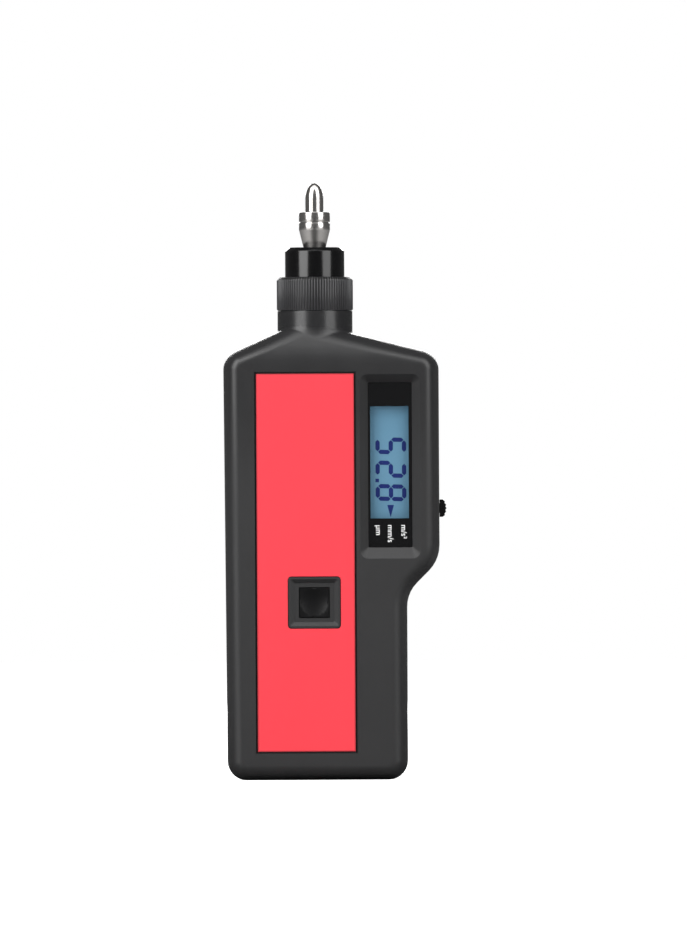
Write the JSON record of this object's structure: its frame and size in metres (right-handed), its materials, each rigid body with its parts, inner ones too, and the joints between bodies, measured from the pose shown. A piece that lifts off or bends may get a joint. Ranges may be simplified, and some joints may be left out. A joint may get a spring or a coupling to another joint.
{
  "type": "handheld vibration meter",
  "caption": "Pocket vibration meter: slim moulded case with a stepped head, display window, measuring key, side selector and a steel probe tip on a knurled collar.",
  "frame": {"origin": "where the probe axis meets the flat base of the housing", "axes": "+Z along the probe axis towards the tip, front with the display towards -Y, head step and selector towards +X"},
  "size_m": [0.0689, 0.03, 0.1849],
  "materials": {
    "housing": "moulded dark grey, fine satin texture",
    "cover": "moulded dark grey, fine satin texture",
    "label": "red film, slight gloss",
    "lens": "smoked clear plastic",
    "lcd": "blue-grey liquid crystal glass",
    "backlight": "milky diffuser",
    "frame_black": "black moulding",
    "zebra": "striped elastomer",
    "board": "green solder mask",
    "steel": "bright zinc plated",
    "switch_black": "black moulding",
    "switch_metal": "tinned cover",
    "chips": "black resin",
    "battery": "blue jacket",
    "wire_red": "insulated wire",
    "wire_white": "insulated wire",
    "foam": "closed cell foam",
    "connector": "natural nylon",
    "anodised_gloss": "black anodised, turned and polished",
    "anodised_knurl": "black anodised, straight knurl",
    "ceramic": "fired piezo ceramic",
    "tungsten": "ground",
    "seal": "black nitrile",
    "probe_steel": "turned stainless steel",
    "key_black": "black, semi gloss",
    "plunger": "natural acetal"
  },
  "bodies": {
    "root": {"front_shell": "housing", "rear_shell": "housing", "front_label": "label", "window_lens": "lens", "lcd_panel": "lcd", "lcd_backlight": "backlight", "lcd_frame": "frame_black", "zebra_strips": "zebra", "main_board": "board", "board_screws": "steel", "tact_switch_body": "switch_black", "slide_switch_body": "switch_metal", "signal_chips": "chips", "battery": "battery", "battery_snap": "switch_black", "battery_leads": "wire_red", "battery_foam": "foam", "case_screws": "steel", "pickup_socket": "connector", "signal_leads": "wire_white"},
    "pickup": {"pickup_case": "anodised_gloss", "piezo_disc": "ceramic", "seismic_mass": "tungsten", "preload_bolt": "steel", "pickup_plug": "connector", "neck_seal": "seal", "tip_adapter": "probe_steel"},
    "clamp_ring": {"clamp_ring": "anodised_knurl", "ring_clip": "steel"},
    "probe_tip": {"probe_tip": "probe_steel"},
    "measure_key": {"measure_key": "key_black", "tact_plunger": "plunger"},
    "selector": {"selector_cap": "key_black", "selector_slider": "plunger"},
    "battery_cover": {"battery_cover": "cover"}
  },
  "joints": [
    {"name": "measure_press", "type": "slide", "parent": "root", "child": "measure_key", "axis": [0, 1, 0], "range_m": [0, 0.001], "stiffness_N_per_m": 300},
    {"name": "selector_slide", "type": "slide", "parent": "root", "child": "selector", "axis": [0, 0, 1], "range_m": [-0.003, 0.003]},
    {"name": "battery_cover_slide", "type": "slide", "parent": "root", "child": "battery_cover", "axis": [0, 0, -1], "range_m": [0, 0.062]},
    {"name": "pickup_lift", "type": "slide", "parent": "root", "child": "pickup", "axis": [0, 0, 1], "range_m": [0, 0.006]},
    {"name": "ring_turn", "type": "hinge", "parent": "pickup", "child": "clamp_ring", "pos_m": [0, 0, 0.15], "axis": [0, 0, 1], "range_deg": [0, 1440]},
    {"name": "probe_tip_draw", "type": "slide", "parent": "pickup", "child": "probe_tip", "axis": [0, 0, 1], "range_m": [0, 0.008]}
  ],
  "couplings": [
    {"joint": "ring_turn", "follows": "pickup_lift", "rad_per_m": 4188.8}
  ]
}
